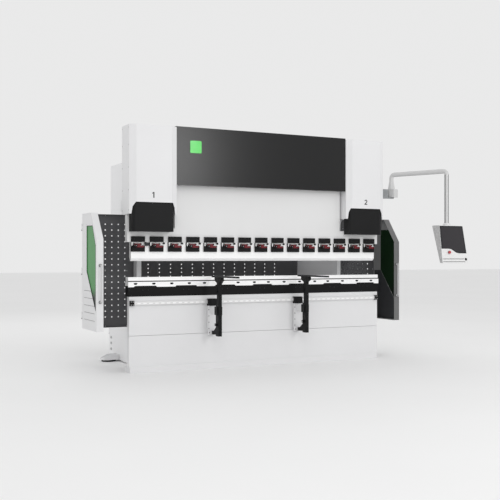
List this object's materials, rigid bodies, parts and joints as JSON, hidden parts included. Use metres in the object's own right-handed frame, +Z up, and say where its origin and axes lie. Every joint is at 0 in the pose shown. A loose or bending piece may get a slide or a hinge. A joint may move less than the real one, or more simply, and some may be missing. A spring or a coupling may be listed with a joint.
{
  "type": "electrohydraulic press brake",
  "caption": "Machine that bends sheet metal between a die on a fixed bed and a hydraulic ram, with side guards, front supports and a swivelling control pendant.",
  "frame": {"origin": "centre of the four floor anchor holes, at floor level", "axes": "+X along the bending line to the operator's right, +Y from the operator to the back, +Z up"},
  "size_m": [4.2655, 2.3709, 2.671],
  "materials": {
    "white_paint": "satin powder coat",
    "frame_paint": "satin powder coat",
    "black_paint": "satin",
    "black_plastic": "moulded",
    "fascia_gloss": "gloss",
    "green_plate": "gloss",
    "dark_sheet": "fine texture",
    "tool_steel": "ground",
    "rail_steel": "ground",
    "chrome_rod": "polished",
    "hydraulic_steel": "satin",
    "tank_paint": "satin",
    "motor_paint": "painted cast fins",
    "gauge_alu": "anodised",
    "red_lever": "gloss",
    "green_window": "tinted, clear",
    "handle_metal": "satin",
    "pendant_tube": "satin paint",
    "pendant_case": "satin",
    "screen_dark": "gloss",
    "estop_red": "gloss"
  },
  "bodies": {
    "frame": {"left_side_frame": "frame_paint", "right_side_frame": "frame_paint", "top_beam": "frame_paint", "rear_beam": "frame_paint", "bed_plate": "white_paint", "bed_apron": "white_paint", "base_beam": "white_paint", "rear_feet": "frame_paint", "crown_beam": "black_paint", "die_holder": "rail_steel", "die_screws": "black_paint", "lower_die": "tool_steel", "front_rail": "rail_steel", "top_fascia": "fascia_gloss", "fascia_plate": "green_plate", "left_column_cover": "white_paint", "right_column_cover": "white_paint", "cylinders": "hydraulic_steel", "valve_blocks": "hydraulic_steel", "hydraulic_pipes": "hydraulic_steel", "oil_tank": "tank_paint", "pump_motor": "motor_paint", "left_guard_panel": "dark_sheet", "right_guard_panel": "dark_sheet", "rear_guard": "dark_sheet", "electrical_cabinet": "frame_paint", "pendant_bracket": "dark_sheet", "gauge_rails": "tank_paint", "gauge_motor": "motor_paint"},
    "ram": {"ram_plate": "white_paint", "piston_rods": "chrome_rod", "left_rod_cover": "black_paint", "right_rod_cover": "black_paint", "tool_holder": "tool_steel", "clamp_plates": "black_paint", "clamp_blocks": "black_paint", "punch": "tool_steel"},
    "levers": {"clamp_levers": "red_lever"},
    "left_carriage": {"left_support_carriage": "black_paint"},
    "left_arm": {"left_support_arm": "black_paint"},
    "left_knob": {"left_support_knob": "black_plastic"},
    "right_carriage": {"right_support_carriage": "black_paint"},
    "right_arm": {"right_support_arm": "black_paint"},
    "right_knob": {"right_support_knob": "black_plastic"},
    "left_door": {"left_guard_door": "white_paint", "left_guard_window": "green_window", "left_guard_handle": "handle_metal"},
    "right_door": {"right_guard_door": "white_paint", "right_guard_window": "green_window", "right_guard_handle": "handle_metal"},
    "cabinet_door": {"cabinet_door": "white_paint"},
    "pendant_arm": {"pendant_arm": "pendant_tube"},
    "pendant_head": {"pendant_head": "pendant_case", "pendant_screen": "screen_dark"},
    "estop": {"estop_button": "estop_red"},
    "gauge_carriage": {"gauge_carriage": "tank_paint"},
    "gauge_beam": {"gauge_beam": "gauge_alu"},
    "left_finger": {"left_finger": "rail_steel"},
    "right_finger": {"right_finger": "rail_steel"},
    "screw": {"ball_screw": "rail_steel"}
  },
  "joints": [
    {"name": "ram_stroke", "type": "slide", "parent": "frame", "child": "ram", "axis": [0, 0, 1], "range_m": [-0.172, 0]},
    {"name": "clamp_levers_swing", "type": "hinge", "parent": "ram", "child": "levers", "pos_m": [0, -0.642, 1.386], "axis": [-1, 0, 0], "range_deg": [0, 100]},
    {"name": "left_support_slide", "type": "slide", "parent": "frame", "child": "left_carriage", "axis": [1, 0, 0], "range_m": [-0.8, 0.5]},
    {"name": "left_support_height", "type": "slide", "parent": "left_carriage", "child": "left_arm", "axis": [0, 0, 1], "range_m": [-0.06, 0.03]},
    {"name": "left_knob_turn", "type": "hinge", "parent": "left_arm", "child": "left_knob", "pos_m": [-0.584, -0.853, 0.505], "axis": [1, 0, 0], "continuous": true},
    {"name": "right_support_slide", "type": "slide", "parent": "frame", "child": "right_carriage", "axis": [1, 0, 0], "range_m": [-0.4, 0.97]},
    {"name": "right_support_height", "type": "slide", "parent": "right_carriage", "child": "right_arm", "axis": [0, 0, 1], "range_m": [-0.06, 0.03]},
    {"name": "right_knob_turn", "type": "hinge", "parent": "right_arm", "child": "right_knob", "pos_m": [0.414, -0.853, 0.505], "axis": [1, 0, 0], "continuous": true},
    {"name": "left_guard_hinge", "type": "hinge", "parent": "frame", "child": "left_door", "pos_m": [-1.948, -0.042, 1.09], "axis": [0, 0, -1], "range_deg": [0, 95]},
    {"name": "right_guard_hinge", "type": "hinge", "parent": "frame", "child": "right_door", "pos_m": [1.948, -0.042, 1.09], "axis": [0, 0, 1], "range_deg": [0, 95]},
    {"name": "cabinet_door_hinge", "type": "hinge", "parent": "frame", "child": "cabinet_door", "pos_m": [1.849, 0.521, 1.075], "axis": [0, 0, 1], "range_deg": [0, 100]},
    {"name": "pendant_arm_swivel", "type": "hinge", "parent": "frame", "child": "pendant_arm", "pos_m": [1.818, -0.635, 2.04], "axis": [0, 0, 1], "range_deg": [-65, 60]},
    {"name": "pendant_head_swivel", "type": "hinge", "parent": "pendant_arm", "child": "pendant_head", "pos_m": [2.12066, -1.32122, 1.6], "axis": [0, 0, 1], "range_deg": [-90, 90]},
    {"name": "estop_press", "type": "slide", "parent": "pendant_head", "child": "estop", "axis": [0, -0.9839, 0.1789], "range_m": [-0.005, 0], "stiffness_N_per_m": 400},
    {"name": "gauge_depth", "type": "slide", "parent": "frame", "child": "gauge_carriage", "axis": [0, 1, 0], "range_m": [-0.15, 0.35]},
    {"name": "gauge_height", "type": "slide", "parent": "gauge_carriage", "child": "gauge_beam", "axis": [0, 0, 1], "range_m": [-0.05, 0.1]},
    {"name": "left_finger_slide", "type": "slide", "parent": "gauge_beam", "child": "left_finger", "axis": [1, 0, 0], "range_m": [-0.4, 0.4]},
    {"name": "right_finger_slide", "type": "slide", "parent": "gauge_beam", "child": "right_finger", "axis": [1, 0, 0], "range_m": [-0.4, 0.4]},
    {"name": "ball_screw_spin", "type": "hinge", "parent": "frame", "child": "screw", "pos_m": [0, -0.1, 0.69], "axis": [0, 1, 0], "continuous": true}
  ],
  "couplings": [
    {"joint": "ball_screw_spin", "follows": "gauge_depth", "rad_per_m": 314.16}
  ]
}
